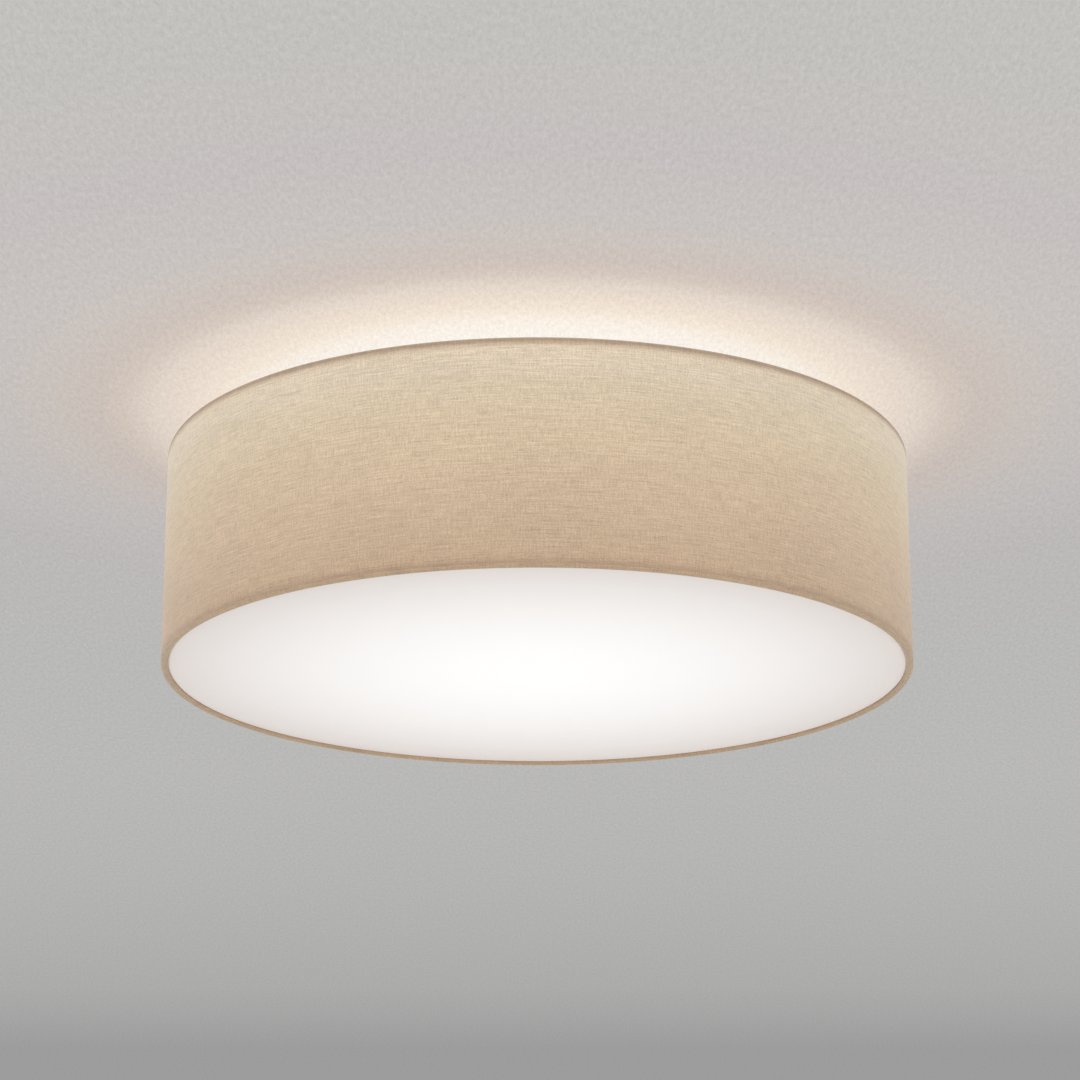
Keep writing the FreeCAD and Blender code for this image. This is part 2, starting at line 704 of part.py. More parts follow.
def all_nodes():
    nodes = {
        "ceiling_bracket": ceiling_bracket(),
        "arm_inserts": arm_inserts(),
        "cable_grommet": cable_grommet(),
        "terminal_block": terminal_block(),
        "terminal_screws": terminal_screws(),
        "earth_screw": earth_screw(),
        "earth_lead": earth_lead(),
        "wiring_cup": wiring_cup(),
        "cup_screws": cup_screws(),
        "lead_bush": lead_bush(),
        "bracket_rivets": bracket_rivets(),
        "holder_nipples": holder_nipples(),
        "nipple_nuts": nipple_nuts(),
        "shade_fabric": shade_fabric(),
        "shade_lining": shade_lining(),
        "top_ring": wire_ring(top_ring_z),
        "bottom_ring": wire_ring(bottom_ring_z),
        "fixing_lugs": fixing_lugs(),
        "diffuser": diffuser(),
    }
    lead_starts = [0.0, -lead_start_spread, lead_start_spread]
    for i, degrees in enumerate(holder_angles):
        number = str(i + 1)
        nodes["lampholder_bracket_" + number] = holder_bracket(degrees)
        nodes["lampholder_cap_" + number] = holder_cap(degrees)
        nodes["lampholder_insert_" + number] = holder_insert(degrees)
        nodes["lampholder_shell_" + number] = holder_shell(degrees)
        nodes["lampholder_contact_" + number] = holder_contact(degrees)
        nodes["lampholder_body_" + number] = holder_body(degrees)
        nodes["lampholder_lead_" + number] = holder_lead(degrees, lead_starts[i])
        nodes["lamp_tip_" + number] = along_axis(lamp_tip(), degrees)
        nodes["lamp_cap_" + number] = along_axis(lamp_cap(), degrees)
        nodes["lamp_body_" + number] = along_axis(lamp_body(), degrees)
        nodes["lamp_globe_" + number] = along_axis(lamp_globe(), degrees)
    for i, degrees in enumerate(arm_angles):
        nodes["thumbscrew_" + str(i + 1)] = thumbscrew(degrees)
    return nodes


os.makedirs("parts", exist_ok=True)
for name, shape in all_nodes().items():
    shape.exportStep("parts/" + name + ".step")
    box_size = shape.BoundBox
    print(name, len(shape.Solids), "solids, volume", round(shape.Volume, 1), "valid", shape.isValid(),
          "z", round(box_size.ZMin, 2), round(box_size.ZMax, 2))
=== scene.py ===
import math

import bpy
import numpy as np
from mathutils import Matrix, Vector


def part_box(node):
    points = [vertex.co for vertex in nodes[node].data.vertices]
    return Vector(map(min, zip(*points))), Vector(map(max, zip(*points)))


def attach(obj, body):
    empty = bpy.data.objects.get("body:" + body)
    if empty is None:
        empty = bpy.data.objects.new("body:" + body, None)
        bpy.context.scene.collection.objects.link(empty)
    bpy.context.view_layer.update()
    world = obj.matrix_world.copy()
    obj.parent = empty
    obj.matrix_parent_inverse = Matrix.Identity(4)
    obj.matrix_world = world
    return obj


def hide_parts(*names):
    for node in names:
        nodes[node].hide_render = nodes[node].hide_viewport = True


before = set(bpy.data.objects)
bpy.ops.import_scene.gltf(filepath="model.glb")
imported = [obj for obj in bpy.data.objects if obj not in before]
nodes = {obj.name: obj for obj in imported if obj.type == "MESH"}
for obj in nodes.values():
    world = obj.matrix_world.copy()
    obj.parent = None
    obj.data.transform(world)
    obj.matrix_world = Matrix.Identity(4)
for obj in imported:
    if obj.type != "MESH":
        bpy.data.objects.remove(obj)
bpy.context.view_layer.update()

mm = 0.001


# Ceiling bracket. Pressed from 2 mm steel in one piece, a disc with three joggled arms, powder coated
# white. It is screwed to the ceiling through the disc and carries the shade on its arms' ends.


def fill(made, inputs):
    """Fills a node's named inputs: another node's output is linked, any other value is set."""
    for key, value in inputs.items():
        if isinstance(value, bpy.types.NodeSocket):
            made.id_data.links.new(value, made.inputs[key])
        else:
            made.inputs[key].default_value = value


def node(tree, kind, inputs=None, **settings):
    """Adds a shader node, applies its settings and fills its inputs."""
    made = tree.nodes.new(kind)
    for key, value in settings.items():
        setattr(made, key, value)
    fill(made, inputs or {})
    return made


def maths(tree, operation, first, second, third=0.0):
    """Output of one math node: the operation on two values, or on three."""
    return node(
        tree, "ShaderNodeMath", {0: first, 1: second, 2: third}, operation=operation
    ).outputs["Value"]


def blend(tree, factor, first, second, **settings):
    """Colour that goes from the first to the second with the factor."""
    inputs = {"Factor": factor, "A": first, "B": second}
    return node(tree, "ShaderNodeMix", inputs, data_type="RGBA", **settings).outputs["Result"]


def product(tree, first, second):
    """Colour multiplied by a colour or a shade."""
    return blend(tree, 1.0, first, second, blend_type="MULTIPLY")


def bumped(tree, height, strength, depth):
    """Normal tilted by a pattern of heights, which is that deep."""
    inputs = {"Height": height, "Strength": strength, "Distance": depth}
    return node(tree, "ShaderNodeBump", inputs).outputs["Normal"]


def group(name, inputs, outputs):
    """Empty shader node group with named sockets: (kind, name, default) in, (kind, name) out."""
    tree = bpy.data.node_groups.new(name, "ShaderNodeTree")
    for kind, label, default in inputs:
        socket = tree.interface.new_socket(label, in_out="INPUT", socket_type="NodeSocket" + kind)
        socket.default_value = default
    for kind, label in outputs:
        tree.interface.new_socket(label, in_out="OUTPUT", socket_type="NodeSocket" + kind)
    return tree, tree.nodes.new("NodeGroupInput"), tree.nodes.new("NodeGroupOutput")


def finish_of(name, **constants):
    """Material with a Principled shader; constants go straight onto the shader's sockets."""
    made = bpy.data.materials.new(name)
    made.use_nodes = True
    shader = made.node_tree.nodes["Principled BSDF"]
    for label, value in constants.items():
        shader.inputs[label.replace("_", " ")].default_value = value
    return made, made.node_tree, shader


def linear(*screen):
    """Shader colour of an 8-bit screen colour, by the display curve's formula."""
    share = np.array(screen) / 255
    low = share <= 0.04045
    value = np.where(low, share / 12.92, ((share + 0.055) / 1.055) ** 2.4)
    return (*value.tolist(), 1.0)


# Fine coat: the shallow dimples and faint cloudiness of powder coat, lacquer or moulded plastic.
mean_gloss = 0.45
fine_coat, taken, given = group(
    "fine coat",
    [("Color", "Colour", (0.8, 0.8, 0.8, 1)), ("Float", "Cells per metre", 900.0),
     ("Float", "Cloud", 0.06)],
    [("Color", "Colour"), ("Float", "Height"), ("Float", "Roughness")],
)
place = node(fine_coat, "ShaderNodeTexCoord").outputs["Object"]
cells = node(
    fine_coat, "ShaderNodeTexNoise",
    {"Vector": place, "Scale": taken.outputs["Cells per metre"], "Detail": 2.0},
).outputs["Fac"]
cloud = node(fine_coat, "ShaderNodeTexNoise", {"Vector": place, "Scale": 35.0, "Detail": 3.0})
cloud = maths(fine_coat, "SUBTRACT", cloud.outputs["Fac"], 0.5)
tone = maths(fine_coat, "MULTIPLY_ADD", cloud, taken.outputs["Cloud"], 1.0)
tone = maths(fine_coat, "MULTIPLY_ADD", maths(fine_coat, "SUBTRACT", cells, 0.5), 0.04, tone)
fill(given, {
    "Colour": product(fine_coat, taken.outputs["Colour"], tone), "Height": cells,
    "Roughness": maths(fine_coat, "MULTIPLY_ADD", cloud, 0.2, mean_gloss),
})


def coated(name, colour, cells, depth, gloss):
    """Coated or moulded finish: the fine coat's colour, roughness and dimples of that depth."""
    made, tree, shader = finish_of(name)
    coat = node(tree, "ShaderNodeGroup", node_tree=fine_coat)
    fill(coat, {"Colour": (*colour, 1), "Cells per metre": cells})
    fill(shader, {
        "Base Color": coat.outputs["Colour"],
        "Roughness": maths(tree, "ADD", coat.outputs["Roughness"], gloss - mean_gloss),
        "Normal": bumped(tree, coat.outputs["Height"], 0.5, depth),
    })
    return made


def dress(finish, *names):
    """Gives CAD nodes that keep their own shape a finish."""
    for name in names:
        mesh = nodes[name].data
        mesh.materials.clear()
        mesh.materials.append(finish)


white_steel = coated("white powder coat", (0.80, 0.795, 0.77), 700.0, 0.04 * mm, 0.42)
dress(white_steel, "ceiling_bracket", "fixing_lugs")


# Cable grommet. A ring of black rubber with a groove round it, pushed into the disc's large hole.
# The supply cable enters through it.


def grid_faces(rows, columns, closed_rows, closed_columns):
    """Quads over a grid of points, each as the four point numbers round it."""
    i = np.arange(rows if closed_rows else rows - 1)[:, None]
    j = np.arange(columns if closed_columns else columns - 1)[None, :]
    up, across = (i + 1) % rows, (j + 1) % columns
    corners = (i * columns + j, i * columns + across, up * columns + across, up * columns + j)
    return np.stack(np.broadcast_arrays(*corners), axis=-1).reshape(-1, 4)


def skin(name, points, faces, finish):
    """Smooth-shaded mesh object from an (n, 3) array of points in metres and lists of faces."""
    mesh = bpy.data.meshes.new(name)
    mesh.from_pydata(points.reshape(-1, 3), [], [f for block in faces for f in block.tolist()])
    mesh.polygons.foreach_set("use_smooth", [True] * len(mesh.polygons))
    mesh.materials.append(finish)
    mesh.update()
    made = bpy.data.objects.new(name, mesh)
    bpy.context.scene.collection.objects.link(made)
    return made


def rounded(corners, steps=6):
    """Outline of (radius, height, rounding) corners, with an arc of that radius at each corner and a
    supporting point just before and after it. The arc leaves each side at rounding / tan(half)."""
    spots = np.array([c[:2] for c in corners], float)
    made = []
    for k, (here, size) in enumerate(zip(spots, [c[2] for c in corners])):
        if size <= 0:
            made.append(here[None, :])
            continue
        back = spots[k - 1] - here
        ahead = spots[(k + 1) % len(spots)] - here
        back, ahead = back / np.hypot(*back), ahead / np.hypot(*ahead)
        half = np.arccos(np.clip(back @ ahead, -1, 1)) / 2
        reach = size / np.tan(half)
        middle = here + (back + ahead) / np.hypot(*(back + ahead)) * size / np.sin(half)
        first, last = here + back * reach - middle, here + ahead * reach - middle
        a0, a1 = np.arctan2(first[1], first[0]), np.arctan2(last[1], last[0])
        sweep = (a1 - a0 + np.pi) % (2 * np.pi) - np.pi
        turn = a0 + sweep * np.linspace(0, 1, steps)
        arc = middle + size * np.stack([np.cos(turn), np.sin(turn)], axis=-1)
        made += [(arc[0] + back * size * 0.3)[None, :], arc, (arc[-1] + ahead * size * 0.3)[None, :]]
    return np.concatenate(made)


def repeated(outline, steps):
    """An outline's (radius, height) points, each repeated round the axis, as two grids."""
    return (np.repeat(outline[:, k:k + 1], steps, axis=1) for k in (0, 1))


def turned(radius, height):
    """Points (r cos a, r sin a, z) of rings given as (rings, steps) grids of radius and height."""
    steps = radius.shape[1]
    angles = np.arange(steps) * 2 * np.pi / steps
    return np.stack([radius * np.cos(angles), radius * np.sin(angles), height], axis=-1).reshape(-1, 3)


def poled_skin(name, radius, height, first, last, finish, seat):
    """Rings closed at both ends by a point on the axis, at the heights first and last."""
    rings, steps = radius.shape
    here, after = np.arange(steps), (np.arange(steps) + 1) % steps
    top = (rings - 1) * steps
    pole = np.full(steps, rings * steps)
    faces = [
        grid_faces(rings, steps, False, True), np.stack([pole, after, here], axis=-1),
        np.stack([top + here, top + after, pole + 1], axis=-1),
    ]
    points = np.concatenate([turned(radius, height), [[0, 0, first], [0, 0, last]]])
    return skin(name, seat(points), faces, finish)


def in_place(points):
    """Leaves a turned piece on the drum's own axis."""
    return points


def lathe(name, outline, finish, steps, seat=in_place):
    """Outline of (radius, height) points carried round the axis. An outline that starts and ends on
    the axis is closed by a point there, any other one is closed on itself."""
    poled = outline[0, 0] < 1e-9 and outline[-1, 0] < 1e-9
    rings = outline[1:-1] if poled else outline
    radius, height = repeated(rings, steps)
    if poled:
        return poled_skin(name, radius, height, outline[0, 1], outline[-1, 1], finish, seat)
    faces = [grid_faces(len(rings), steps, True, True)]
    return skin(name, seat(turned(radius, height)), faces, finish)


def stands_for(piece, node_name, body):
    """The piece takes a CAD node's place: the node is hidden and the piece rides on its body."""
    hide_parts(node_name)
    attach(piece, body)


rubber = coated("black rubber", (0.028, 0.028, 0.03), 500.0, 0.03 * mm, 0.62)
grommet_low, grommet_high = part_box("cable_grommet")
grommet_y = (grommet_low.y + grommet_high.y) / 2
grommet_r = (grommet_high.x - grommet_low.x) / 2
grommet_neck = grommet_r - 2 * mm
cable_r = 5 * mm
disc_under = -2 * mm
grommet = lathe(
    "rubber_grommet",
    rounded([
        (cable_r, grommet_low.z, 0.5 * mm), (grommet_r, grommet_low.z, 0.5 * mm),
        (grommet_r, disc_under, 0.4 * mm), (grommet_neck, disc_under, 0),
        (grommet_neck, 0, 0.3 * mm), (cable_r, 0, 0.4 * mm),
    ]),
    rubber, steps=96, seat=lambda points: points + np.array([0, grommet_y, 0]),
)
stands_for(grommet, "cable_grommet", "base")


# Terminal block, earth screw and the fasteners. A moulded three-pole block under the disc takes the
# supply; its screws, the earth screw, the cup's screws and the rivets are zinc plated steel.

# Drawn metal: fine lines along one way and faint worn spots.
mean_metal_gloss = 0.3
drawn_metal, taken, given = group(
    "drawn metal",
    [("Color", "Colour", (0.6, 0.6, 0.6, 1)), ("Float", "Marks", 0.1)],
    [("Color", "Colour"), ("Float", "Height"), ("Float", "Roughness")],
)
place = node(drawn_metal, "ShaderNodeTexCoord").outputs["Object"]
spread = node(drawn_metal, "ShaderNodeMapping", {"Vector": place, "Scale": (900.0, 900.0, 4000.0)})
lines = node(
    drawn_metal, "ShaderNodeTexNoise",
    {"Vector": spread.outputs["Vector"], "Scale": 1.0, "Detail": 3.0},
).outputs["Fac"]
spots = node(drawn_metal, "ShaderNodeTexNoise", {"Vector": place, "Scale": 220.0, "Detail": 4.0})
worn = maths(drawn_metal, "ADD", maths(drawn_metal, "MULTIPLY", lines, 0.5),
             maths(drawn_metal, "MULTIPLY", spots.outputs["Fac"], 0.5))
worn = maths(drawn_metal, "SUBTRACT", worn, 0.5)
tone = maths(drawn_metal, "MULTIPLY_ADD", worn, taken.outputs["Marks"], 1.0)
fill(given, {
    "Colour": product(drawn_metal, taken.outputs["Colour"], tone), "Height": lines,
    "Roughness": maths(drawn_metal, "MULTIPLY_ADD", worn, 0.5, mean_metal_gloss),
})


def bare_metal(name, colour, gloss, marks):
    """Bare or plated metal with drawing lines and faint spots."""
    made, tree, shader = finish_of(name, Metallic=1.0)
    wear = node(tree, "ShaderNodeGroup", node_tree=drawn_metal)
    fill(wear, {"Colour": (*colour, 1), "Marks": marks})
    fill(shader, {
        "Base Color": wear.outputs["Colour"],
        "Roughness": maths(tree, "ADD", wear.outputs["Roughness"], gloss - mean_metal_gloss),
        "Normal": bumped(tree, wear.outputs["Height"], 0.25, 0.02 * mm),
    })
    return made


block_plastic = coated("terminal plastic", (0.78, 0.77, 0.73), 1300.0, 0.02 * mm, 0.4)
zinc = bare_metal("zinc plate", (0.62, 0.63, 0.64), 0.34, 0.35)
dress(block_plastic, "terminal_block")
dress(zinc, "terminal_screws", "earth_screw", "cup_screws", "bracket_rivets", "nipple_nuts")


def ranged(tree, value, start, stop):
    """0 at start, 1 at stop, a straight line between them and level past them."""
    inputs = {"Value": value, "From Min": start, "From Max": stop}
    return node(tree, "ShaderNodeMapRange", inputs).outputs["Result"]


def earth_finish():
    """Green sheath with slanting yellow stripes."""
    made, tree, shader = finish_of("earth sheath", Roughness=0.45)
    place = node(tree, "ShaderNodeTexCoord").outputs["Object"]
    wave = node(
        tree, "ShaderNodeTexWave", {"Vector": place, "Scale": 110.0, "Distortion": 0.4},
        bands_direction="DIAGONAL",
    )
    stripe = ranged(tree, wave.outputs["Fac"], 0.55, 0.62)
    green, yellow = (0.05, 0.27, 0.05, 1), (0.75, 0.62, 0.03, 1)
    fill(shader, {"Base Color": blend(tree, stripe, green, yellow)})
    return made


dress(earth_finish(), "earth_lead")


# Threaded inserts. Round nuts of zinc plated steel, one pressed into each arm's end. The shade's
# thumbscrews go up into them.

insert_low, insert_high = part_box("arm_inserts")
insert_bore = 2.3 * mm
insert_r = 3.73 * mm
lug_degrees = (30, 150, 270)
thumb_three_low, thumb_three_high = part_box("thumbscrew_3")
thumb_circle = -(thumb_three_low.y + thumb_three_high.y) / 2


def around(degrees, points):
    """Points turned about the drum's axis by an angle in degrees."""
    c, s = math.cos(math.radians(degrees)), math.sin(math.radians(degrees))
    return points @ np.array([[c, s, 0], [-s, c, 0], [0, 0, 1.0]])


def at_lug(degrees):
    """Places a piece turned round +Z on the thumbscrews' circle, at one lug's angle."""
    return lambda points: around(degrees, points + np.array([thumb_circle, 0, 0]))


insert_outline = rounded([
    (insert_bore, insert_low.z, 0.25 * mm), (insert_r, insert_low.z, 0.2 * mm),
    (insert_r, insert_high.z, 0.4 * mm), (insert_bore, insert_high.z, 0.35 * mm),
], steps=4)
insert_steps = 64
insert_points = turned(*repeated(insert_outline, insert_steps))
insert_faces = grid_faces(len(insert_outline), insert_steps, True, True)
inserts = skin(
    "threaded_inserts",
    np.concatenate([at_lug(degrees)(insert_points) for degrees in lug_degrees]),
    [insert_faces + number * len(insert_points) for number in range(len(lug_degrees))],
    zinc,
)
stands_for(inserts, "arm_inserts", "base")


# Wiring cup. A pan pressed from thin steel, powder coated like the bracket and screwed up against it,
# with a plastic bush where the lampholders' leads come out.

cup_low, cup_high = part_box("wiring_cup")
cup_t = 1.2 * mm
cup_r = 48 * mm
cup_flange_r = cup_high.x
bush_low, bush_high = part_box("lead_bush")
bush_r = 8 * mm
bush_bore = 6.5 * mm
cup = lathe(
    "pressed_cup",
    rounded([
        (bush_r, cup_low.z, 0.2 * mm), (cup_r, cup_low.z, 4 * mm),
        (cup_r, cup_high.z - cup_t, 1.0 * mm), (cup_flange_r, cup_high.z - cup_t, 0.4 * mm),
        (cup_flange_r, cup_high.z, 0.2 * mm), (cup_r - cup_t, cup_high.z, 1.6 * mm),
        (cup_r - cup_t, cup_low.z + cup_t, 2.8 * mm), (bush_r, cup_low.z + cup_t, 0.2 * mm),
    ]),
    white_steel, steps=256,
)
stands_for(cup, "wiring_cup", "base")
white_plastic = coated("white moulding", (0.82, 0.81, 0.77), 1500.0, 0.012 * mm, 0.28)
bush = lathe(
    "moulded_bush",
    rounded([
        (bush_bore, bush_low.z, 0.5 * mm), (bush_high.x, bush_low.z, 0.5 * mm),
        (bush_high.x, cup_low.z, 0.2 * mm), (bush_r, cup_low.z, 0), (bush_r, cup_low.z + cup_t, 0),
        (bush_high.x, cup_low.z + cup_t, 0.2 * mm), (bush_high.x, bush_high.z, 0.5 * mm),
        (bush_bore, bush_high.z, 0.5 * mm),
    ]),
    white_plastic, steps=96,
)
stands_for(bush, "lead_bush", "base")


# Lampholders. White moulded E27 holders in two halves, each on a steel angle under the cup. A hollow
# nipple with a nut joins them; a ceramic block inside carries the brass contact and threaded shell.

holder_degrees = (90, 210, 330)
body_low, body_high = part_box("lampholder_body_1")
holder_z = (body_low.z + body_high.z) / 2
seat_r = 46.5 * mm
cap_end = seat_r + 17.5 * mm
holder_end = seat_r + 53.5 * mm
holder_r = 19.5 * mm
holder_wall = 1.8 * mm
block_start, block_end = seat_r + 11.5 * mm, seat_r + 19.5 * mm
shell_r = 13.5 * mm
shell_t = 0.5 * mm
shell_end = block_end + 22 * mm
nipple_r = 5.05 * mm
rear_r = 15 * mm
rear_shoulder_r = 17 * mm
shoulder_start = seat_r + 2 * mm
boss_r = 7.5 * mm
boss_end = seat_r + 9.5 * mm
block_foot_r = 15.2 * mm
block_r = 17.4 * mm
contact_r = 4 * mm
contact_nose_r = 2.2 * mm
contact_end = block_end + 2.9 * mm
grip_ribs = 10
grip_depth = 0.55 * mm
shell_beads = 6
bead_depth = 0.22 * mm


def on_axis(degrees):
    """Lays a piece turned round +Z on a lampholder's axis, its height becoming distance outward."""
    def lay(points):
        """Turns (x, y, z) to (z, y, holder's height - x), then about the drum's axis."""
        flat = np.stack([points[:, 2], points[:, 1], -points[:, 0] + holder_z], axis=-1)
        return around(degrees, flat)
    return lay


def two_ended(inner, outer, low, high, ribs):
    """Tube outline: rounded ends at low and high with a worked outer side between them."""
    edge = 0.6 * mm
    bend = np.linspace(0, np.pi / 2, 6)
    foot = np.stack([outer - edge + edge * np.sin(bend), low + edge - edge * np.cos(bend)], axis=-1)
    top = np.stack([outer - edge + edge * np.cos(bend), high - edge + edge * np.sin(bend)], axis=-1)
    return np.concatenate([[[inner, low]], foot, ribs, top, [[inner, high]]])


ceramic = coated("steatite", (0.74, 0.71, 0.63), 2200.0, 0.03 * mm, 0.55)
brass = bare_metal("brass", (0.72, 0.50, 0.20), 0.26, 0.3)
nickel = bare_metal("nickel plate", (0.66, 0.64, 0.60), 0.24, 0.25)
sheath = coated("silicone sheath", (0.76, 0.75, 0.72), 1800.0, 0.02 * mm, 0.5)
grip = np.linspace(0.16, 0.84, 241)
rib_turn = (grip - grip[0]) / (grip[-1] - grip[0]) * grip_ribs * 2 * np.pi
dips = grip_depth * (0.5 - 0.5 * np.cos(rib_turn))
grip_side = np.stack([holder_r - dips, cap_end + (holder_end - cap_end) * grip], axis=-1)
level = np.linspace(0, 1, 121)
beads = shell_r + shell_t - bead_depth * (0.5 - 0.5 * np.cos(level * shell_beads * 2 * np.pi))
beaded_side = np.stack([beads, block_end + (shell_end - block_end) * (0.02 + 0.96 * level)], axis=-1)
for number, degrees in enumerate(holder_degrees, 1):
    seat = on_axis(degrees)
    tag = "_" + str(number)
    dress(white_steel, "lampholder_bracket" + tag)
    dress(sheath, "lampholder_lead" + tag)
    cap_piece = lathe(
        "holder_rear" + tag,
        rounded([
            (nipple_r, seat_r, 0.3 * mm), (rear_r, seat_r, 1.2 * mm),
            (rear_shoulder_r, shoulder_start, 2 * mm), (holder_r, cap_end, 0.3 * mm),
            (holder_r - holder_wall, cap_end, 0),
            (rear_shoulder_r - holder_wall, shoulder_start, 1 * mm),
            (rear_r - holder_wall, seat_r + holder_wall, 0), (boss_r, seat_r + holder_wall, 0.5 * mm),
            (boss_r, boss_end, 0.4 * mm), (nipple_r, boss_end, 0.3 * mm),
        ], steps=5),
        white_plastic, steps=128, seat=seat,
    )
    stands_for(cap_piece, "lampholder_cap" + tag, "base")
    skirt = lathe(
        "holder_skirt" + tag,
        two_ended(holder_r - holder_wall, holder_r, cap_end, holder_end, grip_side),
        white_plastic, steps=128, seat=seat,
    )
    stands_for(skirt, "lampholder_body" + tag, "base")
    block = lathe(
        "holder_block" + tag,
        rounded([
            (0, block_start, 0), (block_foot_r, block_start, 0.5 * mm), (block_r, cap_end, 0.8 * mm),
            (block_r, block_end, 0.5 * mm), (0, block_end, 0),
        ], steps=5),
        ceramic, steps=96, seat=seat,
    )
    stands_for(block, "lampholder_insert" + tag, "base")
    shell = lathe(
        "holder_thread" + tag,
        np.concatenate([
            [[shell_r, block_end], [shell_r + shell_t, block_end]], beaded_side,
            [[shell_r + shell_t, shell_end], [shell_r, shell_end]],
        ]),
        brass, steps=96, seat=seat,
    )
    stands_for(shell, "lampholder_shell" + tag, "base")
    contact = lathe(
        "holder_contact" + tag,
        rounded([
            (0, block_end, 0), (contact_r, block_end, 0.2 * mm),
            (contact_r, block_end + 1.6 * mm, 0.8 * mm), (contact_nose_r, contact_end, 0.8 * mm),
            (0, contact_end, 0),
        ], steps=5),
        brass, steps=48, seat=seat,
    )
    stands_for(contact, "lampholder_contact" + tag, "base")
dress(zinc, "holder_nipples")


# Lamps. E27 LED lamps with a nickel screw cap, a white finned plastic body and an opal globe. The cap's
# thread is a true helix, rolled into the thin metal, and the lamp screws out along the holder's axis.

tip_r = 69 * mm
lamp_end = tip_r + 109 * mm
cap_start = tip_r + 5 * mm
cap_stop = tip_r + 27 * mm
pitch = 3.629 * mm
button_nose_r = 3.4 * mm
button_r = 4 * mm
button_base_r = 10 * mm
solder_r = 4 * mm
crest_r = 13.1 * mm
root_r = 12.3 * mm
thread_turns = 4.6
screw_cap_t = 0.35 * mm
globe_r = 30 * mm
globe_middle = lamp_end - globe_r
body_r = 28 * mm
stem_r = 11.9 * mm
stem_start = cap_stop - 6 * mm
collar_start_r = 13.4 * mm
collar_end_r = 13.9 * mm
neck_r = 14 * mm
bell_t = 1.6 * mm
flutes = 24
flute_depth = 0.5 * mm
globe_seat = globe_middle - math.sqrt(globe_r**2 - body_r**2)


def thread_shell(name, finish, seat):
    """Screw cap: radius = root + depth * (half a cosine of (height / pitch - angle / turn)), faded in
    and out at the thread's ends, over a plain skirt. Its inner side is one wall further in."""
    steps = 96
    angles = np.arange(steps) * 2 * np.pi / steps
    height = np.linspace(cap_start, cap_stop, 150)[:, None]
    phase = height / pitch * 2 * np.pi - angles[None, :]
    fade_in = np.clip((height - cap_start) / pitch, 0, 1)
    fade_out = np.clip((cap_start + thread_turns * pitch - height) / pitch, 0, 1)
    outer = root_r + (crest_r - root_r) * (0.5 + 0.5 * np.cos(phase)) * fade_in * fade_out
    inner = np.full_like(outer, root_r - screw_cap_t)
    radius = np.concatenate([outer, inner[::-1]])
    level = np.concatenate([height, height[::-1]]) * np.ones((1, steps))
    return skin(name, seat(turned(radius, level)), [grid_faces(len(radius), steps, True, True)], finish)


def finned_body(name, finish, seat):
    """Lamp body: a neck, then a bell whose radius follows a power of a sine; shallow flutes run up
    it, deepest at its waist. The wall's inner side is the same bell, one thickness in."""
    steps = 192
    angles = np.arange(steps) * 2 * np.pi / steps
    share = np.linspace(0, 1, 60)[:, None]
    waist = cap_stop + 1.2 * mm
    level = waist + (globe_seat - waist) * share
    bell = neck_r + (body_r - neck_r) * np.sin(share * np.pi / 2) ** 1.25
    fade = np.sin(np.clip(share / 0.8, 0, 1) * np.pi)
    outer = bell - flute_depth * fade * (0.5 + 0.5 * np.cos(flutes * angles))
    inner = (bell - bell_t)[::-1] * np.ones((1, steps))
    neck = np.array([[stem_r, stem_start], [stem_r, cap_stop], [collar_start_r, cap_stop],
                     [collar_end_r, cap_stop + 0.5 * mm]])
    ring = np.ones((1, steps))
    radius = np.concatenate([neck[:, :1] * ring, outer, inner])
    height = np.concatenate([neck[:, 1:] * ring, level * ring, level[::-1] * ring])
    return poled_skin(name, radius, height, neck[0, 1], waist, finish, seat)


def from_axis(tree, place, stretch=1.0):
    """A place's distance from the drum's axis, with its x multiplied by stretch first."""
    flat = node(tree, "ShaderNodeVectorMath", {0: place, 1: (stretch, 1, 0)}, operation="MULTIPLY")
    return node(
        tree, "ShaderNodeVectorMath", {0: flat.outputs["Vector"]}, operation="LENGTH"
    ).outputs["Value"]


def globe_finish():
    """Opal globe lit from inside: evenly bright, a little dimmer towards the body."""
    made, tree, shader = finish_of("opal globe", Roughness=0.32, Emission_Strength=1.0)
    place = node(tree, "ShaderNodeTexCoord").outputs["Object"]
    share = ranged(tree, from_axis(tree, place), globe_seat, globe_seat + 22 * mm)
    speck = node(tree, "ShaderNodeTexNoise", {"Vector": place, "Scale": 300.0, "Detail": 2.0})
    mottled = maths(tree, "MULTIPLY_ADD", speck.outputs["Fac"], 0.06, share)
    fill(shader, {
        "Base Color": (0.8, 0.77, 0.72, 1),
        "Emission Color": blend(tree, mottled, (0.1, 0.09, 0.07, 1), (0.5, 0.47, 0.41, 1)),
    })
    return made


def tip_finish(degrees):
    """Black glass button with a soft solder spot at its middle."""
    made, tree, shader = finish_of("black glass button " + str(degrees), Roughness=0.2)
    place = node(tree, "ShaderNodeTexCoord").outputs["Object"]
    out = np.array([math.cos(math.radians(degrees)), math.sin(math.radians(degrees)), 0.0]) * tip_r
    spot = node(
        tree, "ShaderNodeVectorMath", {0: place, 1: (out[0], out[1], holder_z)}, operation="DISTANCE"
    )
    solder = ranged(tree, spot.outputs["Value"], solder_r + 0.2 * mm, solder_r)
    fill(shader, {
        "Base Color": blend(tree, solder, (0.012, 0.012, 0.015, 1), (0.55, 0.54, 0.52, 1)),
        "Metallic": solder,
    })
    return made


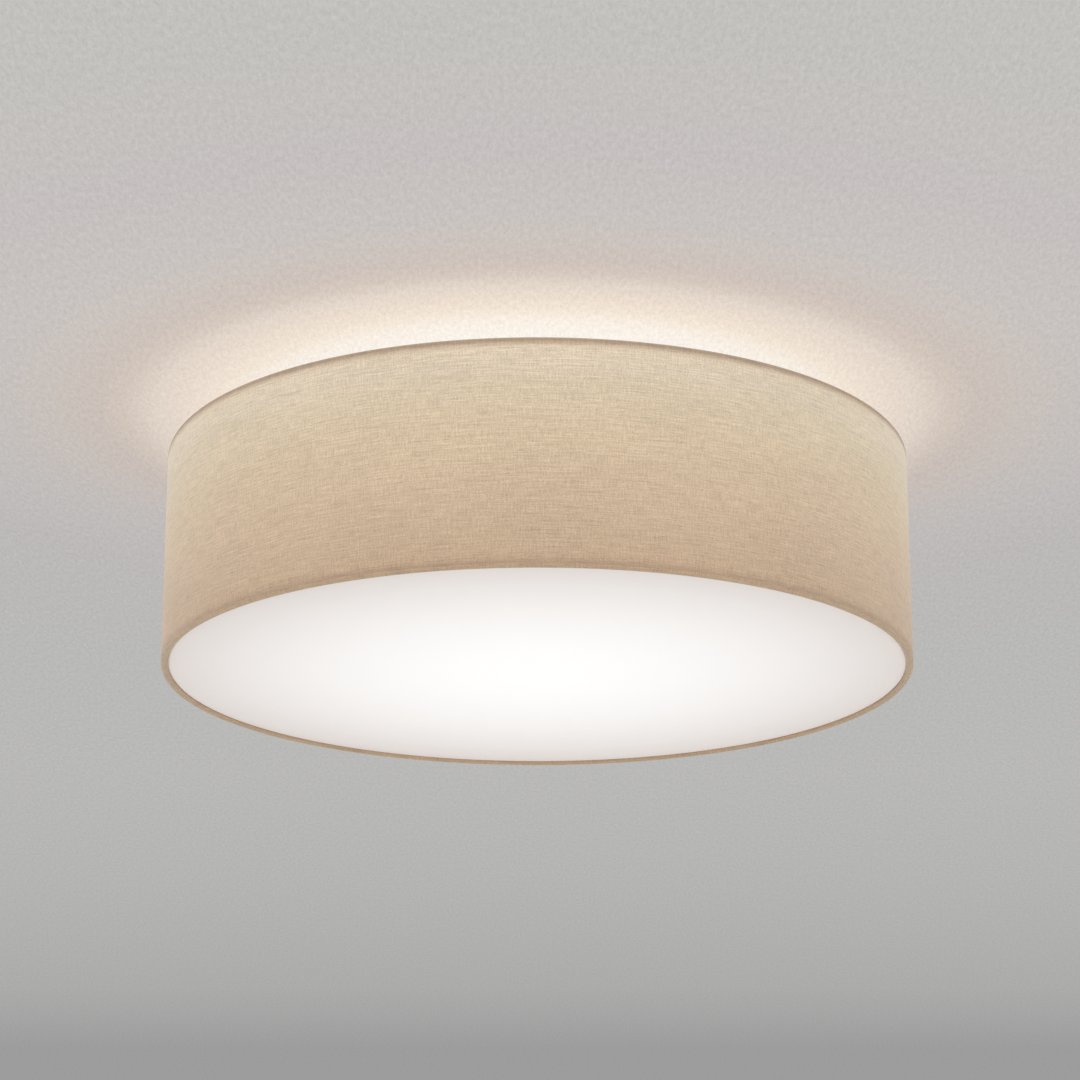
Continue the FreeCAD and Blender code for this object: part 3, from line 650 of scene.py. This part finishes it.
lamp_plastic = coated("lamp plastic", (0.83, 0.83, 0.81), 1500.0, 0.012 * mm, 0.3)
opal_glass = globe_finish()
bend = np.linspace(math.acos((globe_seat - globe_middle) / globe_r), 0, 48)
ball = np.stack([globe_r * np.sin(bend), globe_middle + globe_r * np.cos(bend)], axis=-1)
globe_t = 1.0 * mm
inner_r = globe_r - globe_t
shoulder = globe_seat + globe_t
turn = np.linspace(0, math.acos((shoulder - globe_middle) / inner_r), 40)
hollow = np.stack([inner_r * np.sin(turn), globe_middle + inner_r * np.cos(turn)], axis=-1)
mouth_r = body_r - bell_t - 0.02 * mm
rim_low = globe_seat - 3 * mm
globe_outline = np.concatenate([
    [[0, lamp_end - globe_t]], hollow[1:], [[mouth_r - globe_t, shoulder], [mouth_r - globe_t, rim_low]],
    [[mouth_r, rim_low], [mouth_r, globe_seat]], ball[:-1], [[0, lamp_end]],
])
for number, degrees in enumerate(holder_degrees, 1):
    seat = on_axis(degrees)
    tag = "_" + str(number)
    body = "lamp" + tag
    button = lathe(
        "lamp_button" + tag,
        rounded([
            (0, tip_r, 0), (button_nose_r, tip_r, 1.2 * mm), (button_r, tip_r + 1.5 * mm, 0.3 * mm),
            (button_base_r, cap_start, 0), (0, cap_start, 0),
        ], steps=5),
        tip_finish(degrees), steps=64, seat=seat,
    )
    stands_for(button, "lamp_tip" + tag, "lamp_tip" + tag)
    screw = thread_shell("lamp_thread" + tag, nickel, seat)
    stands_for(screw, "lamp_cap" + tag, body)
    bell = finned_body("lamp_bell" + tag, lamp_plastic, seat)
    stands_for(bell, "lamp_body" + tag, body)
    globe = lathe("lamp_ball" + tag, globe_outline, opal_glass, steps=128, seat=seat)
    stands_for(globe, "lamp_globe" + tag, body)


# Wire rings. Two hoops of steel wire, butt welded and coated white, one at each rim. They keep the
# drum round, and the cloth is rolled round them.

drum_low, drum_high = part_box("shade_fabric")
cloth_t = 0.5 * mm
roll_r = 2.25 * mm
wire_low, wire_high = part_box("top_ring")
wire_r = (wire_high.z - wire_low.z) / 2
drum_r = drum_high.x
for name, height in (("top_ring", drum_high.z - roll_r), ("bottom_ring", drum_low.z + roll_r)):
    bend = np.linspace(0, 2 * np.pi, 20, endpoint=False)
    round_wire = np.stack(
        [drum_r - roll_r + wire_r * np.cos(bend), height + wire_r * np.sin(bend)], axis=-1
    )
    hoop = lathe(name.replace("_ring", "_hoop"), round_wire, white_steel, steps=360)
    stands_for(hoop, name, "shade")


# Drum fabric. A single sheet of slubbed linen-like cloth, glued round a stiff lining, rolled over a
# wire at both rims and trimmed there at the three fixing lugs. Its ends lap at the back of the drum.

roll_turn = math.radians(250)
trimmed_turn = math.radians(86)
lap_middle = np.pi / 2
lap_w = 10 * mm
lug_w = 18 * mm
lug_trim = 1.0 * mm


def step_up(value, start, stop):
    """0 before start, 1 after stop, and the smooth cubic 3t^2 - 2t^3 between them."""
    t = np.clip((value - start) / (stop - start), 0, 1)
    return t * t * (3 - 2 * t)


# Slub weave: crossing threads, small nubs, long soft streaks and, now and then, a dark knot.
slubs, taken, given = group(
    "slub weave",
    [("Vector", "Thread", (0, 0, 0)), ("Float", "Slubs", 1.0)],
    [("Float", "Shade"), ("Float", "Height")],
)


def threads(tree, source, along, across, detail):
    """Noise stretched along one thread direction: cycles per metre along and across it."""
    spread = node(tree, "ShaderNodeMapping", {"Vector": source, "Scale": (along, across, 1.0)})
    return node(
        tree, "ShaderNodeTexNoise",
        {"Vector": spread.outputs["Vector"], "Scale": 1.0, "Detail": detail, "Roughness": 0.6},
        noise_dimensions="2D",
    ).outputs["Fac"]


thread = taken.outputs["Thread"]
weft = threads(slubs, thread, along=75.0, across=1250.0, detail=2.0)
warp = threads(slubs, thread, along=1150.0, across=130.0, detail=1.0)
nubs = threads(slubs, thread, along=950.0, across=1150.0, detail=1.0)
long_slub = threads(slubs, thread, along=17.0, across=1050.0, detail=2.0)
rare_slub = threads(slubs, thread, along=30.0, across=1150.0, detail=1.0)
cloudy = threads(slubs, thread, along=12.0, across=34.0, detail=3.0)
knots = ranged(slubs, rare_slub, 0.66, 0.8)
weave = maths(slubs, "MULTIPLY_ADD", weft, 0.36, maths(slubs, "MULTIPLY", warp, 0.28))
weave = maths(slubs, "MULTIPLY_ADD", nubs, 0.36, weave)
streak = maths(slubs, "MULTIPLY_ADD", long_slub, 0.7, maths(slubs, "MULTIPLY", cloudy, 0.3))
shade = maths(slubs, "MULTIPLY_ADD", maths(slubs, "SUBTRACT", weave, 0.5), 1.2, 1.0)
shade = maths(
    slubs, "MULTIPLY_ADD", maths(slubs, "SUBTRACT", streak, 0.5),
    maths(slubs, "MULTIPLY", taken.outputs["Slubs"], 0.38), shade,
)
shade = maths(
    slubs, "MULTIPLY_ADD", knots, maths(slubs, "MULTIPLY", taken.outputs["Slubs"], -0.1), shade
)
height = maths(slubs, "MULTIPLY_ADD", knots, 0.5, maths(slubs, "ADD", weave, streak))
fill(given, {"Shade": shade, "Height": height})


def ramp(tree, share, shades):
    """Colour that follows a share through (position, colour) pairs, given in rising order."""
    made = node(tree, "ShaderNodeValToRGB", {"Fac": share})
    stops = made.color_ramp.elements
    while len(stops) < len(shades):
        stops.new(0.5)
    for stop, (where, colour) in zip(stops, shades):
        stop.position = where
        stop.color = colour
    return made.outputs["Color"]


def cloth_finish():
    """Cloth colour from the weave. Its emission is painted light: the lamps' glow through the cloth,
    rising from bottom to top, with a painted shadow band just under the top roll where the wire ring
    sits, a dip just above the bottom roll and a lighter strip on the bottom roll.
    """
    made, tree, shader = finish_of(
        "drum cloth", Roughness=0.92, Sheen_Weight=0.25, Sheen_Roughness=0.6,
        Specular_IOR_Level=0.15, Emission_Strength=1.0,
    )
    thread_map = node(tree, "ShaderNodeUVMap", uv_map="threads").outputs["UV"]
    weave = node(tree, "ShaderNodeGroup", node_tree=slubs)
    fill(weave, {"Thread": thread_map, "Slubs": 1.0})
    place = node(tree, "ShaderNodeTexCoord").outputs["Object"]
    height = node(tree, "ShaderNodeSeparateXYZ", {"Vector": place}).outputs["Z"]
    # Painted light by height: glow through the cloth, with a painted shadow where the top wire ring sits.
    glow = ramp(tree, ranged(tree, height, drum_low.z, drum_high.z), (
        (0.0, (0.116, 0.088, 0.045, 1)), (0.009, (0.1, 0.074, 0.04, 1)), (0.018, (0.05, 0.031, 0.023, 1)),
        (0.04, (0.13, 0.097, 0.061, 1)), (0.06, (0.165, 0.128, 0.084, 1)),
        (0.16, (0.18, 0.149, 0.102, 1)), (0.3, (0.22, 0.182, 0.129, 1)),
        (0.6, (0.282, 0.255, 0.18, 1)), (0.8, (0.305, 0.299, 0.226, 1)), (0.87, (0.324, 0.321, 0.261, 1)),
        (0.946, (0.342, 0.333, 0.268, 1)), (0.96, (0.308, 0.293, 0.232, 1)),
        (0.972, (0.169, 0.155, 0.12, 1)), (0.985, (0.012, 0.01, 0.008, 1)), (1.0, (0.1, 0.09, 0.076, 1)),
    ))
    fill(shader, {
        "Base Color": product(tree, linear(164, 139, 116), weave.outputs["Shade"]),
        "Emission Color": product(tree, glow, weave.outputs["Shade"]),
        "Normal": bumped(tree, weave.outputs["Height"], 0.35, 0.15 * mm),
    })
    return made


def lap_steps(step_deg):
    """Angles round the drum, with extra ones where the cloth laps and where it is trimmed."""
    extra = [math.degrees(lap_middle) + 0.05 * k for k in range(-25, 26)]
    half = math.degrees((lug_w / 2 + lug_trim) / drum_r)
    for middle in lug_degrees:
        for side in (-1, 1):
            extra += [middle + side * half + 0.03 * k for k in range(-3, 4)]
    return np.unique(np.round(np.concatenate([np.arange(0, 360, step_deg), extra]) % 360, 4))


def drum_cloth():
    """Section of the sheet carried round the drum. The section runs up the outer side, round the top
    roll, back along the inner side and round the bottom roll; each roll is an arc, the top roll's turn is
    cut short at the lugs, and the outer radius grows by one thickness across the lap."""
    angles = np.radians(lap_steps(step_deg=0.75))
    turn_top = np.full(len(angles), roll_turn)
    for middle in np.radians(lug_degrees):
        away = np.abs(np.angle(np.exp(1j * (angles - middle)))) * drum_r
        near = 1 - step_up(away, lug_w / 2 + lug_trim - 0.1 * mm, lug_w / 2 + lug_trim + 0.1 * mm)
        turn_top += (trimmed_turn - roll_turn) * near
    lap = np.abs(np.angle(np.exp(1j * (angles - lap_middle)))) * drum_r
    raised = cloth_t * (1 - step_up(lap, lap_w / 2 - 0.12 * mm, lap_w / 2 + 0.02 * mm))
    ring_r = drum_r - roll_r
    top = drum_high.z - roll_r
    bottom = drum_low.z + roll_r
    share = np.linspace(0, 1, 26)[:, None]
    level = np.linspace(0, 1, 18)[1:-1, None]
    flat = np.ones_like(angles)[None, :]
    fade = 1 - step_up(share, 0.0, 0.02)

    def arc(centre, way, radius, turn, extra):
        """Radius and height of points bent round a wire, upwards with way 1 and downwards with -1."""
        bend = way * share * turn[None, :]
        out = radius + extra[None, :] * fade
        return ring_r + out * np.cos(bend), centre + out * np.sin(bend)

    whole = np.full(len(angles), roll_turn)
    none = np.zeros(len(angles))
    inner = roll_r - cloth_t
    parts = [
        ((drum_r + raised[None, :]) * np.ones_like(level), (bottom + (top - bottom) * level) * flat),
        arc(top, 1, roll_r, turn_top, raised),
        [side[::-1] for side in arc(top, 1, inner, turn_top, none)],
        ((drum_r - cloth_t) * np.ones_like(level) * flat, (top + (bottom - top) * level) * flat),
        arc(bottom, -1, inner, whole, none),
        [side[::-1] for side in arc(bottom, -1, roll_r, whole, raised)],
    ]
    radius = np.concatenate([np.broadcast_to(p[0], p[1].shape) for p in parts])
    height = np.concatenate([p[1] for p in parts])
    points = np.stack([radius * np.cos(angles), radius * np.sin(angles), height], axis=-1)
    rows, columns = height.shape
    cloth = skin("drum_fabric", points, [grid_faces(rows, columns, True, True)], cloth_finish())
    span = np.hypot(
        np.roll(radius[:, 0], -1) - radius[:, 0], np.roll(height[:, 0], -1) - height[:, 0]
    )
    reach = np.cumsum(span) - span
    reach[-len(share):] -= span.sum()
    left = np.mod(angles - lap_middle, 2 * np.pi) * drum_r
    right = np.roll(left, -1)
    right = np.where(right < left, right + 2 * np.pi * drum_r, right)
    low = np.broadcast_to(reach[:, None], (rows, columns))
    high = np.broadcast_to((reach + span)[:, None], (rows, columns))
    us = np.broadcast_to(np.stack([left, right, right, left], axis=-1), (rows, columns, 4))
    uv = np.stack([us, np.stack([low, low, high, high], axis=-1)], axis=-1)
    layer = cloth.data.uv_layers.new(name="threads")
    layer.data.foreach_set("uv", uv.ravel())
    return cloth


sheet = drum_cloth()
stands_for(sheet, "shade_fabric", "shade")


# Lining. Stiff white translucent sheet glued inside the cloth, which keeps the drum round. The lamps
# light it strongly, most of all towards its upper edge.

lining_low, lining_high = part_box("shade_lining")
lining_t = 0.5 * mm


def lining_finish():
    """Warm white sheet, faintly cloudy, whose glow rises evenly from its lower edge to its upper one."""
    made, tree, shader = finish_of("translucent lining", Roughness=0.55, Emission_Strength=1.0)
    place = node(tree, "ShaderNodeTexCoord").outputs["Object"]
    height = node(tree, "ShaderNodeSeparateXYZ", {"Vector": place}).outputs["Z"]
    level = ranged(tree, height, lining_low.z, lining_high.z)
    speck = node(tree, "ShaderNodeTexNoise", {"Vector": place, "Scale": 120.0, "Detail": 5.0})
    fill(shader, {
        "Base Color": blend(tree, speck.outputs["Fac"], (0.72, 0.66, 0.57, 1), (0.78, 0.72, 0.63, 1)),
        "Emission Color": blend(tree, level, (0.1, 0.085, 0.065, 1), (0.3, 0.265, 0.21, 1)),
    })
    return made


lining = lathe(
    "drum_lining",
    rounded([
        (lining_high.x - lining_t, lining_low.z, 0), (lining_high.x, lining_low.z, 0),
        (lining_high.x, lining_high.z, 0), (lining_high.x - lining_t, lining_high.z, 0),
    ]),
    lining_finish(), steps=480,
)
stands_for(lining, "shade_lining", "shade")


# Thumbscrews. Small knurled knobs under the lugs, white lacquered, each with a fine thread on its
# shank. They hold the shade to the arms.

thumb_low, thumb_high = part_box("thumbscrew_1")
lug_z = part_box("fixing_lugs")[0].z
knob_r = 7 * mm
collar_r = 4.5 * mm
thumb_shank = 2 * mm
grooves = 40
groove_depth = 0.3 * mm
groove_pitch = 1.6 * mm
fine_pitch = 0.7 * mm
fine_depth = 0.22 * mm


def knurled(name, finish, seat):
    """Knob turned about its axis, its side crossed by two sets of slanting grooves: the radius dips
    where cos(n a + k z) or cos(n a - k z) peaks. The shank carries a fine helical thread."""
    head_top = lug_z - 1 * mm
    outline = rounded([
        (0, thumb_low.z, 0), (knob_r, thumb_low.z, 1.0 * mm), (knob_r, head_top, 0.8 * mm),
        (collar_r, head_top, 0.3 * mm), (collar_r, lug_z, 0.2 * mm), (thumb_shank, lug_z, 0),
    ], steps=5)
    shank = np.linspace(lug_z + 0.1 * mm, thumb_high.z - 0.6 * mm, 90)
    side = np.linspace(thumb_low.z + 1.4 * mm, head_top - 1.2 * mm, 40)
    cutting = np.abs(outline[:, 0] - knob_r) < 1e-7
    first = np.argmax(cutting)
    last = len(cutting) - np.argmax(cutting[::-1])
    rows = np.concatenate([
        outline[:first], np.stack([np.full_like(side, knob_r), side], axis=-1), outline[last:],
        np.stack([np.full_like(shank, thumb_shank), shank], axis=-1),
        [[thumb_shank - 0.5 * mm, thumb_high.z], [0, thumb_high.z]],
    ])
    steps = 240
    angles = np.arange(steps) * 2 * np.pi / steps
    r, z = rows[1:-1, :1], rows[1:-1, 1:]
    up_side = np.clip((z - side[0]) / (side[-1] - side[0]), 0, 1)
    on_side = (np.abs(r - knob_r) < 1e-7) * np.sin(up_side * np.pi) ** 0.3
    slant = 2 * np.pi * (z - side[0]) / groove_pitch
    groove = np.maximum(np.cos(grooves * angles + slant), np.cos(grooves * angles - slant))
    threaded = (z > lug_z) & (z < thumb_high.z - fine_pitch)
    helix = threaded * (0.5 - 0.5 * np.cos(z / fine_pitch * 2 * np.pi - angles)) * fine_depth
    radius = r - on_side * groove_depth * np.clip(groove, 0, 1) - helix
    return poled_skin(name, radius, z * np.ones((1, steps)), rows[0, 1], rows[-1, 1], finish, seat)


knob_finish = coated("knob lacquer", (0.78, 0.77, 0.74), 1200.0, 0.02 * mm, 0.35)
for number, degrees in enumerate(lug_degrees, 1):
    knob = knurled("knurled_knob_" + str(number), knob_finish, at_lug(degrees))
    stands_for(knob, "thumbscrew_" + str(number), "thumbscrew_" + str(number))


# Opal diffuser. A formed disc of translucent acrylic, 2 mm thick, whose face sits just above the
# rim's lowest line and whose flange rests loose on the rolled rim. The lamps glow through its middle.

disc_low, disc_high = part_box("diffuser")
flange_r = disc_high.x
disc_t = 2 * mm
disc_wall_r = drum_r - 2 * roll_r - 0.3 * mm


def opal_finish():
    """Milky acrylic: warm white, with the lamps' glow as a parabola of the distance from the axis."""
    made, tree, shader = finish_of(
        "opal acrylic", Roughness=0.38, Specular_IOR_Level=0.3, Emission_Strength=1.0
    )
    place = node(tree, "ShaderNodeTexCoord").outputs["Object"]
    share = maths(tree, "DIVIDE", from_axis(tree, place), disc_wall_r)
    hill = maths(tree, "SUBTRACT", 1.0, maths(tree, "MULTIPLY", share, share))
    hill = maths(tree, "POWER", maths(tree, "MAXIMUM", hill, 0.0), 0.95)
    mottle = node(
        tree, "ShaderNodeTexNoise", {"Vector": place, "Scale": 900.0, "Detail": 2.0}
    ).outputs["Fac"]
    hill = maths(tree, "MULTIPLY_ADD", maths(tree, "SUBTRACT", mottle, 0.5), 0.03, hill)
    fill(shader, {
        "Base Color": blend(tree, mottle, (0.725, 0.69, 0.655, 1), (0.755, 0.72, 0.685, 1)),
        "Emission Color": blend(tree, hill, (0.18, 0.15, 0.145, 1), (0.46, 0.47, 0.49, 1)),
        "Normal": bumped(tree, mottle, 0.08, 0.05 * mm),
    })
    return made


lip = disc_high.z - disc_t
diffuser = lathe(
    "opal_diffuser",
    rounded([
        (0, disc_low.z, 0), (disc_wall_r, disc_low.z, 1.0 * mm), (disc_wall_r, lip, 0.25 * mm),
        (flange_r, lip, 0.5 * mm), (flange_r, disc_high.z, 0.5 * mm),
        (disc_wall_r - disc_t, disc_high.z, 0.5 * mm),
        (disc_wall_r - disc_t, disc_low.z + disc_t, 0.6 * mm), (0, disc_low.z + disc_t, 0),
    ]),
    opal_finish(), steps=360,
)
stands_for(diffuser, "diffuser", "diffuser")


# Stage. A pale floor far below, and the ceiling that the light hangs from. The ceiling is a backdrop
# that only the camera sees, and only from below, so it neither lights nor hides the object.

ceiling_half = 9.0
ceiling_z = 0.5 * mm
halo_start, halo_end = 0.15, 0.65
falloff_start, falloff_end = -0.3, 3.0
grain_depth = 0.42
floor_half = 30.0
floor_z = -4.0
air_light = 0.85
air_seen = 0.66
drum_middle = (0.0, 0.0, -0.08)


def ceiling_finish():
    """Plaster grey with painted light: a warm painted halo of lamp light round the drum's top, and
    painted shade that darkens the plaster the further it lies behind the drum.
    """
    made = bpy.data.materials.new("plaster ceiling")
    made.use_nodes = True
    tree = made.node_tree
    tree.nodes.clear()
    place = node(tree, "ShaderNodeTexCoord").outputs["Object"]
    near = ranged(tree, from_axis(tree, place, stretch=0.96), halo_start, halo_end)
    # Painted light: a warm pool of lamp light on the plaster round the drum's top.
    halo = ramp(tree, near, (
        (0.0, linear(253, 247, 240)), (0.08, linear(250, 241, 229)), (0.12, linear(244, 230, 214)),
        (0.16, linear(236, 221, 207)), (0.20, linear(227, 214, 202)), (0.24, linear(213, 200, 190)),
        (0.27, linear(207, 195, 187)), (0.33, linear(204, 195, 189)), (0.42, linear(200, 195, 192)),
        (0.6, linear(197, 192, 191)), (1.0, linear(194, 193, 190)),
    ))
    depth = node(tree, "ShaderNodeSeparateXYZ", {"Vector": place}).outputs["Y"]
    # Painted shade: the plaster darkens the further it lies behind the drum.
    light_falloff = ramp(tree, ranged(tree, depth, falloff_start, falloff_end), (
        (0.03, (1.0, 1.0, 1.0, 1)), (0.17, (0.905, 0.915, 0.93, 1)), (0.4, (0.9, 0.905, 0.925, 1)),
        (0.56, (0.846, 0.855, 0.875, 1)), (0.76, (0.755, 0.765, 0.785, 1)), (0.91, (0.62, 0.63, 0.65, 1)),
    ))
    spread = node(tree, "ShaderNodeMapping", {"Vector": place, "Scale": (390.0, 120.0, 1.0)})
    grain = node(
        tree, "ShaderNodeTexNoise",
        {"Vector": spread.outputs["Vector"], "Scale": 1.0, "Detail": 2.0, "Roughness": 0.9},
    )
    centred = maths(tree, "SUBTRACT", grain.outputs["Fac"], 0.5)
    rough = maths(tree, "MULTIPLY_ADD", centred, grain_depth, 1.0)
    painted = node(
        tree, "ShaderNodeEmission", {"Color": product(tree, halo, light_falloff), "Strength": rough}
    )
    clear = node(tree, "ShaderNodeBsdfTransparent")
    ray = node(tree, "ShaderNodeLightPath").outputs["Is Camera Ray"]
    behind = node(tree, "ShaderNodeNewGeometry").outputs["Backfacing"]
    seen = maths(tree, "MULTIPLY", ray, maths(tree, "SUBTRACT", 1.0, behind))
    mixed = node(
        tree, "ShaderNodeMixShader", {0: seen, 1: clear.outputs["BSDF"], 2: painted.outputs["Emission"]}
    )
    node(tree, "ShaderNodeOutputMaterial", {"Surface": mixed.outputs["Shader"]})
    return made


def plane(name, half, height, finish, facing_down):
    """Square sheet of 12 x 12 faces, facing up or down."""
    side = np.linspace(-half, half, 13)
    x, y = np.meshgrid(side, side[::-1] if facing_down else side)
    points = np.stack([x, y, np.full_like(x, height)], axis=-1)
    made = skin(name, points, [grid_faces(13, 13, False, False)], finish)
    return made


def floor_finish():
    """Matt pale floor, mottled between two near greys."""
    made, tree, shader = finish_of("pale floor", Roughness=0.9)
    place = node(tree, "ShaderNodeTexCoord").outputs["Object"]
    speck = node(tree, "ShaderNodeTexNoise", {"Vector": place, "Scale": 3.0, "Detail": 4.0})
    tone = blend(tree, speck.outputs["Fac"], (0.74, 0.74, 0.73, 1), (0.78, 0.78, 0.77, 1))
    fill(shader, {"Base Color": tone})
    return made


plane("ceiling", ceiling_half, ceiling_z, ceiling_finish(), facing_down=True)
plane("floor", floor_half, floor_z, floor_finish(), facing_down=False)

# White air lights the object. It is seen, also in metal and glass, in the floor's own darker tone.
world = bpy.data.worlds.new("studio air")
bpy.context.scene.world = world
world.use_nodes = True
air = world.node_tree
rays = node(air, "ShaderNodeLightPath").outputs
mirrored = maths(air, "ADD", rays["Is Glossy Ray"], rays["Is Transmission Ray"])
seen = maths(air, "MINIMUM", maths(air, "ADD", rays["Is Camera Ray"], mirrored), 1.0)
strength = maths(air, "MULTIPLY_ADD", seen, air_seen - air_light, air_light)
fill(air.nodes["Background"], {"Color": (1.0, 1.0, 1.0, 1), "Strength": strength})


def soft_light(name, place, target, size, power):
    """Square area lamp at place, turned towards target."""
    lamp = bpy.data.lights.new(name, "AREA")
    lamp.size = size
    lamp.energy = power
    made = bpy.data.objects.new(name, lamp)
    bpy.context.scene.collection.objects.link(made)
    made.location = place
    direction = np.array(target) - np.array(place)
    flat = math.hypot(direction[0], direction[1])
    made.rotation_euler = (
        math.atan2(flat, -direction[2]), 0, math.atan2(direction[1], direction[0]) - math.pi / 2
    )
    return made


soft_light("key", (-1.6, -2.2, -0.5), drum_middle, size=1.6, power=16)
soft_light("fill", (1.9, -1.8, -0.9), drum_middle, size=1.6, power=12)

# Camera, at the photo's place: 2.25 m from the drum's rim, below it and looking up, with the photo's
# lens. The photo's centre is the lens's axis, so the camera needs no shift.
photo_pitch = math.radians(17.582)
photo_yaw = math.radians(-0.049)
view_distance = 9.0 * drum_r
view_dip = math.radians(15.258)
photo_lens = 112.21
camera_data = bpy.data.cameras.new("photo camera")
camera_data.lens = photo_lens
camera_data.sensor_width = 36.0
camera_data.clip_start = 0.05
camera_data.clip_end = 100.0
camera = bpy.data.objects.new("photo camera", camera_data)
bpy.context.scene.collection.objects.link(camera)
camera.location = (
    0.0, -view_distance * math.cos(view_dip), drum_low.z - view_distance * math.sin(view_dip)
)
camera.rotation_euler = (math.pi / 2 + photo_pitch, 0.0, photo_yaw)
bpy.context.scene.camera = camera
bpy.context.scene.view_settings.view_transform = "Standard"
